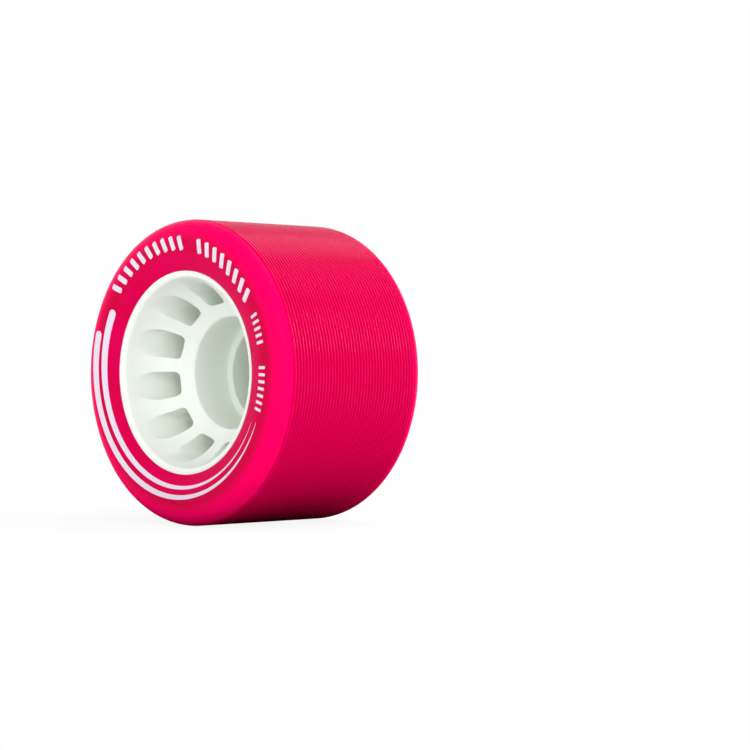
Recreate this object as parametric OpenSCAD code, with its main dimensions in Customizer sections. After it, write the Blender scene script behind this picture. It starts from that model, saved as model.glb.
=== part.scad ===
// Roller skate wheel: a tyre cast on a moulded hub, one ball bearing in the rear seat
// and marks printed on the front face.
// The wheel turns about Y, its printed face looks towards -Y, and Z is up. Sizes are in mm.

/* [Tyre] */
// Diameter over the tread
tyre_d = 59; // [57:0.5:64]
// Width over both faces
tyre_w = 37.5; // [36.5:0.5:42]
// Radius of the shoulders between the faces and the tread
shoulder_r = 3.4; // [2:0.1:4]
// Width of the ring over which each face rolls down to the hub
face_roll_w = 5.8; // [3:0.1:5.9]
// Number of fine grooves turned in the tread
groove_count = 42; // [10:1:42]
// Distance from groove to groove
groove_pitch = 0.773; // [0.65:0.001:0.78]
// Width of one groove
groove_w = 0.6; // [0.3:0.01:0.6]
// Depth of one groove
groove_depth = 0.12; // [0.05:0.01:0.3]

/* [Hub] */
// Outside diameter, where the tyre is bonded on
hub_d = 39.2; // [37:0.2:41]
// Distance of the hub's rims behind the tyre's faces
hub_recess = 1.15; // [0.5:0.05:2]
// Width of the rim round the bowl
rim_w = 1.25; // [1:0.05:1.5]
// Fall of the rim towards the bowl
rim_fall = 0.3; // [0:0.05:0.8]
// Radius of the curve that the bowl turns through
bowl_r = 13.2; // [12.5:0.1:14]
// Distance of the bearing boss behind the tyre's front face
boss_depth = 13.1; // [11:0.1:14]
// Length of the open front bearing seat
front_seat_l = 8.9; // [7.5:0.1:10]
// Width of the stop ring that a bearing comes up against
stop_w = 1.46; // [1:0.02:2]
// Bevel at the mouth of the front seat
seat_lead = 0.25; // [0.1:0.05:0.5]
// Distance of the rear boss inside the tyre's rear face
rear_boss_depth = 0.5; // [0.2:0.1:3]
// Wall between the bearing seats and the pockets
boss_wall = 2.58; // [2:0.02:3]
// Wall of the boss that stands round the rear seat
rear_boss_wall = 1.8; // [1:0.1:2]
// Wall between the pockets and the tyre
shell_wall = 1.5; // [1.3:0.05:2]
// Number of ribs, and of pockets on each side
rib_count = 12; // [8:1:14]
// Angle that one rib takes up
rib_angle = 10.6; // [8:0.2:13]
// Radius in the inner corners of a pocket
pocket_corner_r = 0.9; // [0.4:0.1:1.2]
// Radius in the outer corners of a pocket
pocket_end_r = 1.6; // [0.6:0.1:2]
// Depth of the front pockets behind the tyre's front face
pocket_depth = 20; // [18:0.5:22]
// Thickness of the web between front and rear pockets
web_t = 3; // [2:0.5:5]
// Turn of the first pocket from the horizontal, seen from the front
pocket_turn = 9.2; // [0:0.2:30]
// Height of the rings that key the hub into the tyre
key_h = 1; // [0.5:0.1:1.5]
// Width of one key ring
key_w = 2; // [1:0.1:3]
// Distance between key rings
key_pitch = 10; // [6:0.5:12]

/* [Bearing] */
// Bore of the inner ring, which sits on the axle
bearing_bore = 8; // [7:0.1:8]
// Outside diameter of the outer ring, and so the bore of both seats
bearing_od = 22; // [21.6:0.1:22.4]
// Width of both rings
bearing_w = 7; // [6.6:0.1:7.4]
// Diameter of one ball
ball_d = 3.97; // [3.6:0.01:4]
// Diameter of the circle that the balls run on
pitch_d = 15; // [14.9:0.02:15.1]
// Gap between a ball and its race
race_gap = 0.04; // [0.02:0.01:0.08]
// Height of the land between a race and the edge of its ring
race_land = 0.55; // [0.4:0.01:0.6]
// Bevel on the edges of both rings
ring_bevel = 0.3; // [0.1:0.05:0.4]
// Thickness of a shield
shield_t = 0.3; // [0.2:0.05:0.4]
// Gap between a shield and the inner ring
shield_gap = 0.25; // [0.1:0.05:0.4]
// Width of the ledge that a shield lies on
ledge_w = 0.8; // [0.6:0.05:0.9]
// Distance of a shield's outer side inside the ring's face
shield_depth = 0.75; // [0.7:0.05:0.8]
// Thickness of the snap ring that holds a shield
clip_t = 0.36; // [0.3:0.02:0.4]
// Radial width of a snap ring
clip_w = 0.7; // [0.5:0.05:0.8]
// Depth of the groove that a snap ring springs into
clip_groove = 0.3; // [0.2:0.05:0.4]
// Gap between the ends of a snap ring, as an angle
clip_open_angle = 24; // [10:1:40]
// Gap between the cage and what it runs beside
cage_gap = 0.4; // [0.3:0.05:0.5]
// Gap between the cage's back and the shield
cage_end_gap = 0.15; // [0.1:0.05:0.2]
// Length of the cage's fingers past the middle of the balls
finger_l = 0.9; // [0.5:0.05:1.2]
// Play of a ball in the cage
ball_play = 0.06; // [0.03:0.01:0.1]
// Width of the notch that splits two fingers
notch_w = 1; // [0.6:0.05:1.2]

/* [Print] */
// Thickness of the printed ink
ink_t = 0.06; // [0.04:0.01:0.1]
// Distance of the outer stripe's middle line inside the tread
outer_stripe_inset = 4.64; // [4:0.02:5]
// Distance of the inner stripe's middle line inside the tread
inner_stripe_inset = 6.53; // [6.2:0.01:6.8]
// Width of the outer stripe at its round end
outer_stripe_w = 1.76; // [1:0.01:2]
// Width of the inner stripe at its round end
inner_stripe_w = 1.72; // [1:0.01:2]
// Angle at the outer stripe's round end
outer_stripe_from_angle = 164.8; // [160:0.1:170]
// Angle at the outer stripe's point
outer_stripe_to_angle = 336; // [320:1:340]
// Angle at the inner stripe's round end
inner_stripe_from_angle = 152.2; // [148:0.1:158]
// Angle at the inner stripe's point
inner_stripe_to_angle = 334; // [320:1:340]
// How early the outer stripe narrows
outer_stripe_taper = 0.72; // [0.5:0.01:1.2]
// How early the inner stripe narrows
inner_stripe_taper = 0.87; // [0.5:0.01:1.2]
// Number of bars in the left row
left_bar_count = 10; // [4:1:10]
// Number of bars in the right row
right_bar_count = 8; // [4:1:8]
// Angle at the left row's first bar
left_bar_angle = 139; // [136:0.1:142]
// Angle at the right row's first bar
right_bar_angle = 74.3; // [72:0.1:76]
// Distance of the bar row's outer edge inside the tread
bar_inset = 3.95; // [3.5:0.05:4.5]
// Length of one bar across the row
bar_l = 2.85; // [2:0.05:3]
// Width of one bar
bar_w = 1.1; // [0.5:0.05:1.4]
// Lean of the bars
bar_lean_angle = 20; // [0:1:30]
// Angle from bar to bar
bar_step_angle = 5.7; // [4.5:0.1:6]
// Distance of the small marks' outer edge inside the tread
mark_inset = 4.4; // [4:0.1:5]
// Length of one small mark
mark_l = 1.9; // [1:0.1:2.5]
// Width of one small mark
mark_w = 0.55; // [0.3:0.05:0.8]
// Angle from mark to mark
mark_step_angle = 3.1; // [2:0.1:3.5]
// Number of small marks in the upper group
upper_mark_count = 5; // [2:1:6]
// Number of small marks in the lower group
lower_mark_count = 7; // [2:1:8]
// Angle at the upper group's first mark
upper_mark_angle = 24.3; // [22:0.1:26]
// Angle at the lower group's first mark
lower_mark_angle = 0.7; // [-2:0.1:2]

/* [Hidden] */
$fn = 96;

tread_r = tyre_d / 2;
front_z = tyre_w / 2;
rear_z = -tyre_w / 2;
hub_r = hub_d / 2;
hub_l = tyre_w - 2 * hub_recess;
rim_z = front_z - hub_recess;
rear_rim_z = rear_z + hub_recess;
rim_in_r = hub_r - rim_w;
bowl_z = rim_z - rim_fall;
boss_z = front_z - boss_depth;
seat_r = bearing_od / 2;
front_stop_z = boss_z - front_seat_l;
middle_r = seat_r - stop_w;
rear_boss_z = rear_z + rear_boss_depth;
rear_stop_z = rear_boss_z + bearing_w;
rear_boss_r = seat_r + rear_boss_wall;
pocket_in_r = seat_r + boss_wall;
pocket_out_r = hub_r - shell_wall;
pocket_half = 180 / rib_count - rib_angle / 2;
front_floor_z = front_z - pocket_depth;
rear_floor_z = front_floor_z - web_t;
face_roll_r = (face_roll_w * face_roll_w + hub_recess * hub_recess) / (2 * hub_recess);

ball_count = 7;
ball_r = ball_d / 2;
pitch_r = pitch_d / 2;
race_r = ball_r + race_gap;
inner_land_r = pitch_r - race_r + race_land;
outer_land_r = pitch_r + race_r - race_land;
bearing_z = rear_boss_z + bearing_w / 2;
half_w = bearing_w / 2;
shield_out_z = half_w - shield_depth;
shield_in_z = shield_out_z - shield_t;
ledge_r = outer_land_r + ledge_w;
clip_r = ledge_r + clip_groove;
cage_in_r = inner_land_r + cage_gap;
cage_out_r = outer_land_r - cage_gap;
cage_back_z = shield_in_z - cage_end_gap;

// Where the centres of the printed arcs lie off the axle, seen from the front
outer_stripe_c = [-0.66, 0.93];
inner_stripe_c = [-0.1, 0.91];
bar_row_c = [-0.6, 0.74];
mark_row_c = [-0.55, 0.65];

// How far past a face a cut runs
past = 1;

// Turns a piece drawn about Z, front side up, onto the wheel's axle
module on_axle() {
    rotate([90, 0, 0]) children();
}

// Flat slice of a disc from radius r0 to r1, as wide as the angle half to each side of X
module sector(r0, r1, half) {
    far = r1 + past;
    difference() {
        intersection() {
            circle(r1);
            polygon([[0, 0], [far, -far * tan(half)], [far, far * tan(half)]]);
        }
        circle(r0);
    }
}

// What to cut off a square corner at the origin to round it, the solid lying towards +X and -Y
module corner_cut(r) {
    difference() {
        translate([-past, -r]) square([r + past, r + past]);
        translate([r, -r]) circle(r);
    }
}

// Outside of the hub in half section, with its key rings
module hub_outline() {
    translate([0, rear_rim_z]) square([hub_r, hub_l]);
    for (i = [-1:1])
        translate([0, i * key_pitch - key_w / 2]) square([hub_r + key_h, key_w]);
}

// Tyre in half section before its grooves and bore are cut
module tyre_blank() {
    difference() {
        translate([0, rear_z]) square([tread_r, tyre_w]);
        for (side = [0, 1]) mirror([0, side]) {
            translate([tread_r, front_z]) mirror([1, 0]) corner_cut(shoulder_r);
            difference() {
                translate([-past, front_z - hub_recess])
                    square([hub_r + face_roll_w + past, hub_recess + past]);
                translate([hub_r + face_roll_w, front_z - face_roll_r]) circle(face_roll_r);
            }
        }
    }
}

// Half section of the fine grooves round the tread
module grooves() {
    for (i = [0:groove_count - 1])
        translate([tread_r, (i - (groove_count - 1) / 2) * groove_pitch])
            polygon([[-groove_depth, 0], [0, -groove_w / 2], [past, -groove_w / 2],
                [past, groove_w / 2], [0, groove_w / 2]]);
}

// Cast tyre
module tyre() {
    color([0.86, 0.01, 0.3]) on_axle() rotate_extrude() difference() {
        tyre_blank();
        grooves();
        hub_outline();
        translate([0, rear_z - past]) square([hub_r, tyre_w + 2 * past]);
    }
}

// Plan of one pocket: radial sides, a flat inner end and a round outer end, with rounded corners
module pocket_plan() {
    steps = 6;
    in_x = pocket_in_r + pocket_corner_r;
    in_y = (in_x * sin(pocket_half) - pocket_corner_r) / cos(pocket_half);
    out_r = pocket_out_r - pocket_end_r;
    out_angle = pocket_half - asin(pocket_end_r / out_r);
    end = [for (i = [0:steps - 1]) pocket_out_r * [cos(out_angle * i / steps), sin(out_angle * i / steps)]];
    out_turn = [for (i = [0:steps]) out_angle + (90 + pocket_half - out_angle) * i / steps];
    out_corner = [for (a = out_turn)
        out_r * [cos(out_angle), sin(out_angle)] + pocket_end_r * [cos(a), sin(a)]];
    in_turn = [for (i = [0:steps]) 90 + pocket_half + (90 - pocket_half) * i / steps];
    in_corner = [for (a = in_turn) [in_x, in_y] + pocket_corner_r * [cos(a), sin(a)]];
    upper = concat(end, out_corner, in_corner);
    lower = [for (i = [len(upper) - 1:-1:1]) [upper[i][0], -upper[i][1]]];
    polygon(concat(upper, lower));
}

// Plan of all pockets on one side
module pocket_ring() {
    for (i = [0:rib_count - 1])
        rotate(180 + pocket_turn + i * 360 / rib_count) pocket_plan();
}

// What is hollow about the axle: bowl, seats and middle bore, in half section
module hub_hollow() {
    polygon([[0, bowl_z], [rim_in_r, bowl_z], [hub_r, rim_z], [hub_r, rim_z + past], [0, rim_z + past]]);
    intersection() {
        translate([rim_in_r - bowl_r, bowl_z]) circle(bowl_r);
        translate([0, boss_z]) square([rim_in_r, bowl_z - boss_z]);
    }
    translate([0, front_stop_z]) square([seat_r, bowl_z - front_stop_z]);
    polygon([[0, boss_z], [0, boss_z - seat_lead],
        [seat_r, boss_z - seat_lead], [seat_r + seat_lead, boss_z]]);
    translate([0, rear_z - past]) square([middle_r, tyre_w + past]);
    translate([0, rear_z - past]) square([seat_r, rear_stop_z - rear_z + past]);
}

// Moulded hub
module hub() {
    color([0.93, 0.95, 0.92]) on_axle() difference() {
        rotate_extrude() difference() {
            union() {
                hub_outline();
                translate([0, rear_boss_z]) square([rear_boss_r, rear_rim_z - rear_boss_z + past]);
            }
            hub_hollow();
        }
        translate([0, 0, front_floor_z]) linear_extrude(front_z - front_floor_z) pocket_ring();
        translate([0, 0, rear_z]) linear_extrude(rear_floor_z - rear_z) pocket_ring();
    }
}

// Ink of one mark: the plan that is passed in, laid on the tyre's front face
module ink() {
    color([0.92, 0.88, 0.95]) on_axle() intersection() {
        rotate_extrude() difference() {
            translate([0, ink_t]) tyre_blank();
            tyre_blank();
            translate([0, rear_z - past]) square([tread_r + past, tyre_w / 2]);
        }
        linear_extrude(front_z + past) children();
    }
}

// Plan of a stripe about a shifted centre, from its round end at angle a0 to its point at a1
module stripe_plan(centre, r, w, a0, a1, taper) {
    steps = 72;
    at = [for (i = [0:steps]) a0 + (a1 - a0) * i / steps];
    wide = [for (i = [0:steps]) w / 2 * pow(1 - i / steps, taper)];
    outside = [for (i = [0:steps]) (r + wide[i]) * [cos(at[i]), sin(at[i])]];
    inside = [for (i = [steps - 1:-1:0]) (r - wide[i]) * [cos(at[i]), sin(at[i])]];
    translate(centre) {
        polygon(concat(outside, inside));
        translate(r * [cos(a0), sin(a0)]) circle(w / 2);
    }
}

// Outer printed stripe
module stripe_outer() {
    ink() stripe_plan(outer_stripe_c, tread_r - outer_stripe_inset, outer_stripe_w,
        outer_stripe_from_angle, outer_stripe_to_angle, outer_stripe_taper);
}

// Inner printed stripe
module stripe_inner() {
    ink() stripe_plan(inner_stripe_c, tread_r - inner_stripe_inset, inner_stripe_w,
        inner_stripe_from_angle, inner_stripe_to_angle, inner_stripe_taper);
}

// Plan of leaning bars in a row, the first at angle a0 and the rest clockwise from it
module bar_plan(count, step, a0, inset, l, w, lean) {
    for (i = [0:count - 1])
        rotate(a0 - i * step) translate([tread_r - inset - l / 2, 0]) rotate(lean)
            square([l, w], center = true);
}

// Printed row of bars at upper left
module bar_row_left() {
    ink() translate(bar_row_c)
        bar_plan(left_bar_count, bar_step_angle, left_bar_angle, bar_inset, bar_l, bar_w, bar_lean_angle);
}

// Printed row of bars at upper right
module bar_row_right() {
    ink() translate(bar_row_c)
        bar_plan(right_bar_count, bar_step_angle, right_bar_angle, bar_inset, bar_l, bar_w, bar_lean_angle);
}

// Small printed marks at the right
module small_marks() {
    ink() translate(mark_row_c) {
        bar_plan(upper_mark_count, mark_step_angle, upper_mark_angle, mark_inset, mark_l, mark_w, 0);
        bar_plan(lower_mark_count, mark_step_angle, lower_mark_angle, mark_inset, mark_l, mark_w, 0);
    }
}

// Puts a bearing piece, drawn about the middle of the bearing, in the rear seat
module in_seat() {
    on_axle() translate([0, 0, bearing_z]) children();
}

// Half section of a ring from radius r0 to r1 with bevelled edges
module ring_section(r0, r1, b0, b1) {
    polygon([[r0 + b0, -half_w], [r1 - b1, -half_w], [r1, b1 - half_w], [r1, half_w - b1],
        [r1 - b1, half_w], [r0 + b0, half_w], [r0, half_w - b0], [r0, b0 - half_w]]);
}

// Outer ring with its race, shield ledges and snap ring grooves
module bearing_outer_ring() {
    color([0.75, 0.76, 0.78]) in_seat() rotate_extrude() difference() {
        ring_section(outer_land_r, seat_r, 0, ring_bevel);
        translate([pitch_r, 0]) circle(race_r);
        for (side = [0, 1]) mirror([0, side]) {
            translate([0, shield_in_z]) square([ledge_r, half_w]);
            translate([0, shield_out_z]) square([clip_r, clip_t]);
        }
    }
}

// Inner ring with its race
module bearing_inner_ring() {
    color([0.75, 0.76, 0.78]) in_seat() rotate_extrude() difference() {
        ring_section(bearing_bore / 2, inner_land_r, ring_bevel, 0);
        translate([pitch_r, 0]) circle(race_r);
    }
}

// One ball of the set
module ball(i) {
    color([0.8, 0.81, 0.83]) in_seat()
        rotate(i * 360 / ball_count) translate([pitch_r, 0, 0]) sphere(ball_r);
}

// Crown cage that spaces the balls
module ball_cage() {
    color([0.3, 0.45, 0.35]) in_seat() difference() {
        rotate_extrude() translate([cage_in_r, -finger_l])
            square([cage_out_r - cage_in_r, cage_back_z + finger_l]);
        for (i = [0:ball_count - 1]) rotate(i * 360 / ball_count) {
            translate([pitch_r, 0, 0]) rotate([0, 90, 0]) sphere(ball_r + ball_play);
            rotate(180 / ball_count) translate([pitch_r, 0, 0])
                cube([ball_d, notch_w, 2 * finger_l + notch_w], center = true);
        }
    }
}

// Shield on the side that lies towards +Z of the bearing
module shield() {
    rotate_extrude() translate([inner_land_r + shield_gap, shield_in_z])
        square([ledge_r - inner_land_r - shield_gap, shield_t]);
}

// Open snap ring over the shield on that side
module clip() {
    difference() {
        rotate_extrude() translate([clip_r - clip_w, shield_out_z]) square([clip_w, clip_t]);
        translate([0, 0, shield_out_z - past]) linear_extrude(clip_t + 2 * past)
            sector(0, clip_r + past, clip_open_angle / 2);
    }
}

// Shield towards the wheel's middle
module shield_front() {
    color([0.62, 0.63, 0.65]) in_seat() shield();
}

// Shield that shows at the rear
module shield_rear() {
    color([0.62, 0.63, 0.65]) in_seat() mirror([0, 0, 1]) shield();
}

// Snap ring towards the wheel's middle
module clip_front() {
    color([0.5, 0.5, 0.52]) in_seat() clip();
}

// Snap ring that shows at the rear
module clip_rear() {
    color([0.5, 0.5, 0.52]) in_seat() mirror([0, 0, 1]) clip();
}

tyre();
hub();
stripe_outer();
stripe_inner();
bar_row_left();
bar_row_right();
small_marks();
bearing_outer_ring();
bearing_inner_ring();
ball(0);  // ball_1
ball(1);  // ball_2
ball(2);  // ball_3
ball(3);  // ball_4
ball(4);  // ball_5
ball(5);  // ball_6
ball(6);  // ball_7
ball_cage();
shield_front();
shield_rear();
clip_front();
clip_rear();
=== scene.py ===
from math import acos, asin, atan2, cos, pi, radians, sin, sqrt, tan

import bmesh
import bpy
from mathutils import Matrix, Vector


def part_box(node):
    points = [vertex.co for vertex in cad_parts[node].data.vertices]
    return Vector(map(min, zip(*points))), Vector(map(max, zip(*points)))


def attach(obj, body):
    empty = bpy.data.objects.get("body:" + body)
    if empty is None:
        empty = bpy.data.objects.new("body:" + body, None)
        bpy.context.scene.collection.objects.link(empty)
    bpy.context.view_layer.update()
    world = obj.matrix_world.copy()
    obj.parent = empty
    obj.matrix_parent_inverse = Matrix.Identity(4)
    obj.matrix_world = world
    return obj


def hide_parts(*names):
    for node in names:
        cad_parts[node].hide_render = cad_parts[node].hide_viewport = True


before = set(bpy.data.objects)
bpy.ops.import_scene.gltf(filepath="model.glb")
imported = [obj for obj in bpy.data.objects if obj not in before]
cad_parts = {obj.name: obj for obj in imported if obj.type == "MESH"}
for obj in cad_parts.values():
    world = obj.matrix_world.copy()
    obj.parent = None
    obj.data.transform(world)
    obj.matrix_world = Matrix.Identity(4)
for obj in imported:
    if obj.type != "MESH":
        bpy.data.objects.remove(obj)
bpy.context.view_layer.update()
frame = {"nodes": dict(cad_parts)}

bl_info = {
    "name": "Skate wheel looks",
    "version": (1, 0, 0),
    "blender": (4, 5, 0),
    "location": "3D View > Sidebar > Skate wheel",
    "description": "Dresses the packed skate wheel with fine pieces, finishes, a floor and studio light",
    "category": "Object",
}

MM = 0.001

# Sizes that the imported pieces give, in metres
TYRE_LOW, TYRE_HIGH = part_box("tyre")
TREAD_R = TYRE_HIGH.x
FRONT_Y, REAR_Y = TYRE_LOW.y, TYRE_HIGH.y
HUB_LOW, HUB_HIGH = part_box("hub")
RING_LOW, RING_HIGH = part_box("bearing_outer_ring")
SEAT_R = RING_HIGH.x
BEARING_Y = (RING_LOW.y + RING_HIGH.y) / 2
BEARING_HALF = (RING_HIGH.y - RING_LOW.y) / 2
FLOOR_Z = TYRE_LOW.z

BLACK = (0.0, 0.0, 0.0, 1.0)
WHITE = (1.0, 1.0, 1.0, 1.0)


def linear(*levels):
    """Linear colour of screen levels from 0 to 255, with full alpha."""
    parts = [v / 255 for v in levels]
    return tuple(v / 12.92 if v <= 0.04045 else ((v + 0.055) / 1.055) ** 2.4 for v in parts) + (1.0,)


# Settings

def number(name, description, value, **kind):
    return bpy.props.FloatProperty(name=name, description=description, default=value, **kind)


def length(name, description, millimetres):
    return number(name, description, millimetres * MM, unit="LENGTH", precision=5)


def angle(name, description, degrees):
    return number(name, description, radians(degrees), subtype="ANGLE")


def share(name, description, value):
    return number(name, description, value, min=0, max=1, subtype="FACTOR")


def count(name, description, value):
    return bpy.props.IntProperty(name=name, description=description, default=value, min=1)


def colour(name, description, *levels):
    return bpy.props.FloatVectorProperty(
        name=name, description=description, default=linear(*levels), size=4, min=0, max=1, subtype="COLOR")


class TyreSettings(bpy.types.PropertyGroup):
    """Sizes and colours of the cast tyre."""
    shoulder: length("Shoulder", "Radius between a face and the tread", 3.4)
    face_roll: length("Face roll", "Width of the ring that rolls down to the hub", 5.8)
    groove_count: count("Grooves", "Number of fine grooves turned in the tread", 42)
    groove_pitch: length("Groove pitch", "Distance from groove to groove", 0.773)
    groove_width: length("Groove width", "Width of one groove", 0.6)
    groove_depth: length("Groove depth", "Depth of one groove", 0.12)
    pink: colour("Pink", "Colour of the urethane", 218, 0, 81)
    # Deep pink is the clouding's own colour, and also painted shade on the outer face.
    deep_pink: colour("Deep pink", "Colour of the clouding and of the outer face", 204, 0, 60)
    # Painted glow: the shoulders and the tread's ends are made a brighter pink for the light that they take
    # from two sides.
    glow_pink: colour("Edge pink", "Colour at the shoulders, which take light from two sides", 247, 0, 93)
    tread_pink: colour("Tread pink", "Colour of the turned tread", 212, 0, 80)
    # Painted shade: the grooves are a darker pink where shade falls in them.
    groove_shade_pink: colour("Groove pink", "Colour down in the grooves", 192, 0, 61)


class HubSettings(bpy.types.PropertyGroup):
    """Sizes and colours of the moulded hub."""
    diameter: length("Diameter", "Outside diameter at the rims", 39.2)
    rim_width: length("Rim width", "Width of the rim round the bowl", 1.25)
    rim_fall: length("Rim fall", "Fall of the rim towards the bowl", 0.3)
    rim_round: length("Rim rounding", "Rounding between the rim and the bowl", 0.75)
    bowl: length("Bowl radius", "Radius of the curve that the bowl turns through", 13.2)
    seat_length: length("Seat length", "Length of the open front bearing seat", 8.9)
    boss_depth: length("Boss depth", "Distance of the front boss behind the tyre's face", 13.1)
    stop_width: length("Stop width", "Width of the ring that a bearing comes up against", 1.46)
    boss_wall: length("Boss wall", "Wall between the bearing seats and the pockets", 2.58)
    rear_boss_wall: length("Rear boss wall", "Wall of the boss round the rear seat", 1.8)
    shell_wall: length("Shell wall", "Wall between the pockets and the tyre", 1.5)
    rib_count: count("Ribs", "Number of ribs, and of pockets on each side", 12)
    rib_angle: angle("Rib angle", "Angle that one rib takes up", 10.6)
    pocket_turn: angle("Pocket turn", "Turn of the first pocket from the horizontal", 9.2)
    pocket_depth: length("Pocket depth", "Depth of the front pockets behind the tyre's face", 20)
    web: length("Web", "Thickness between front and rear pockets", 3)
    inner_corner: length("Inner corners", "Radius in the inner corners of a pocket", 0.9)
    outer_corner: length("Outer corners", "Radius in the outer corners of a pocket", 1.6)
    pocket_edge: length("Pocket edge", "Rounding on the edge of a pocket", 0.2)
    pocket_fade: length("Pocket fade", "Extra rounding where a pocket runs out into the bowl", 1.6)
    key_height: length("Key height", "Height of the rings that key the hub into the tyre", 1)
    key_width: length("Key width", "Width of one key ring", 2)
    key_pitch: length("Key pitch", "Distance between key rings", 10)
    white: colour("White", "Colour of the moulded plastic", 243, 247, 242)
    shade: colour("Shade", "Colour of the plastic in its faint flow marks", 239, 244, 238)
    # Deep is a painted shade: a greener tint for the plastic deep in the pockets and seats, where shade
    # falls.
    deep: colour("Deep", "Colour of the plastic deep in the pockets and seats", 242, 250, 238)


class PrintSettings(bpy.types.PropertyGroup):
    """Sizes and colour of the printed marks."""
    thickness: length("Ink thickness", "Thickness of the printed ink", 0.06)
    corner: length("Corner", "Straight cut on the corners of the bars", 0.2)
    bar_length: length("Bar length", "Length of one bar across its row", 2.85)
    bar_width: length("Bar width", "Width of one bar", 1.1)
    bar_inset: length("Bar inset", "Distance of the bars inside the tread", 3.95)
    bar_step: angle("Bar step", "Angle from bar to bar", 5.7)
    bar_lean: angle("Bar lean", "Lean of the bars", 20)
    mark_length: length("Mark length", "Length of one small mark", 1.9)
    mark_width: length("Mark width", "Width of one small mark", 0.55)
    mark_inset: length("Mark inset", "Distance of the small marks inside the tread", 4.4)
    mark_step: angle("Mark step", "Angle from mark to mark", 3.1)
    ink: colour("Ink", "Colour of the ink", 230, 217, 235)


class BearingSettings(bpy.types.PropertyGroup):
    """Sizes and colours of the ball bearing."""
    bore: length("Bore", "Bore of the inner ring", 8)
    ball: length("Ball", "Diameter of one ball", 3.97)
    pitch: length("Pitch", "Diameter of the circle that the balls run on", 15)
    race_gap: length("Race gap", "Gap between a ball and its race", 0.04)
    land: length("Land", "Height of the land beside a race", 0.55)
    bevel: length("Bevel", "Bevel on the edges of both rings", 0.3)
    shield: length("Shield", "Thickness of a shield", 0.3)
    shield_gap: length("Shield gap", "Gap between a shield and the inner ring", 0.25)
    shield_depth: length("Shield depth", "Distance of a shield inside the ring's face", 0.75)
    ledge: length("Ledge", "Width of the ledge that a shield lies on", 0.8)
    bead: length("Bead", "Height of the bead pressed in a shield", 0.12)
    clip: length("Clip", "Thickness of a snap ring", 0.36)
    clip_width: length("Clip width", "Radial width of a snap ring", 0.7)
    clip_groove: length("Clip groove", "Depth of the groove that a snap ring springs into", 0.3)
    clip_open: angle("Clip opening", "Gap between the ends of a snap ring", 24)
    steel: colour("Steel", "Colour of the ground rings", 196, 198, 202)
    sheet: colour("Sheet", "Colour of the pressed shields", 178, 180, 184)
    spring: colour("Spring", "Colour of the snap rings", 150, 150, 154)
    nylon: colour("Nylon", "Colour of the cage", 96, 132, 104)
    polish: colour("Polish", "Colour of the polished balls", 214, 216, 220)
    lapping: colour("Lapping", "Colour of the lapping marks on the balls", 196, 198, 203)


class StageSettings(bpy.types.PropertyGroup):
    """Floor, light and camera."""
    floor: colour("Floor", "Colour of the floor", 250, 250, 250)
    # The floor glows on the wheel to stand for the light that it would throw back; it is no lamp, and near
    # the wheel it stays dark as painted shadow.
    bounce_glow: share("Bounce", "Strength of the light that the floor throws back on the wheel", 0.92)
    sky: number("Sky", "Strength of the light from overhead", 0.55)
    ring: number("Ring", "Strength of the light from all round at the floor's level", 1.9)
    fall: share("Fall", "Share by which the light from all round is weaker behind the wheel", 0.38)
    lean: number("Lean", "Share by which the light from overhead is stronger from the right", 0.7)
    distance: length("Camera distance", "Distance of the camera from the wheel's middle", 454.6)
    azimuth: angle("Camera azimuth", "Turn of the camera to the right of the printed face", 48.137)
    rise: angle("Camera rise", "Height of the camera, as an angle at the wheel's middle", 0.046)
    offset: length("Camera offset", "Shift of the camera along the axle", 0.25)
    pan: angle("Camera pan", "Turn of the view to the left of the wheel's middle", -3.046)
    tilt: angle("Camera tilt", "Nod of the view below the wheel's middle", 0.059)
    lens: number("Lens", "Focal length in mm on a 36 mm sensor", 110.36)


# Shader nodes

class Socket:
    """A shader value that Python's operators work on; each operator adds one Math node."""

    def __init__(self, graph, output):
        self.graph = graph
        self.output = output

    def __add__(self, other):
        return self.graph.math("ADD", self, other)

    def __radd__(self, other):
        return self.graph.math("ADD", other, self)

    def __sub__(self, other):
        return self.graph.math("SUBTRACT", self, other)

    def __rsub__(self, other):
        return self.graph.math("SUBTRACT", other, self)

    def __mul__(self, other):
        return self.graph.math("MULTIPLY", self, other)

    def __rmul__(self, other):
        return self.graph.math("MULTIPLY", other, self)

    def __pow__(self, other):
        return self.graph.math("POWER", self, other)

    def __rpow__(self, other):
        return self.graph.math("POWER", other, self)


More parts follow.
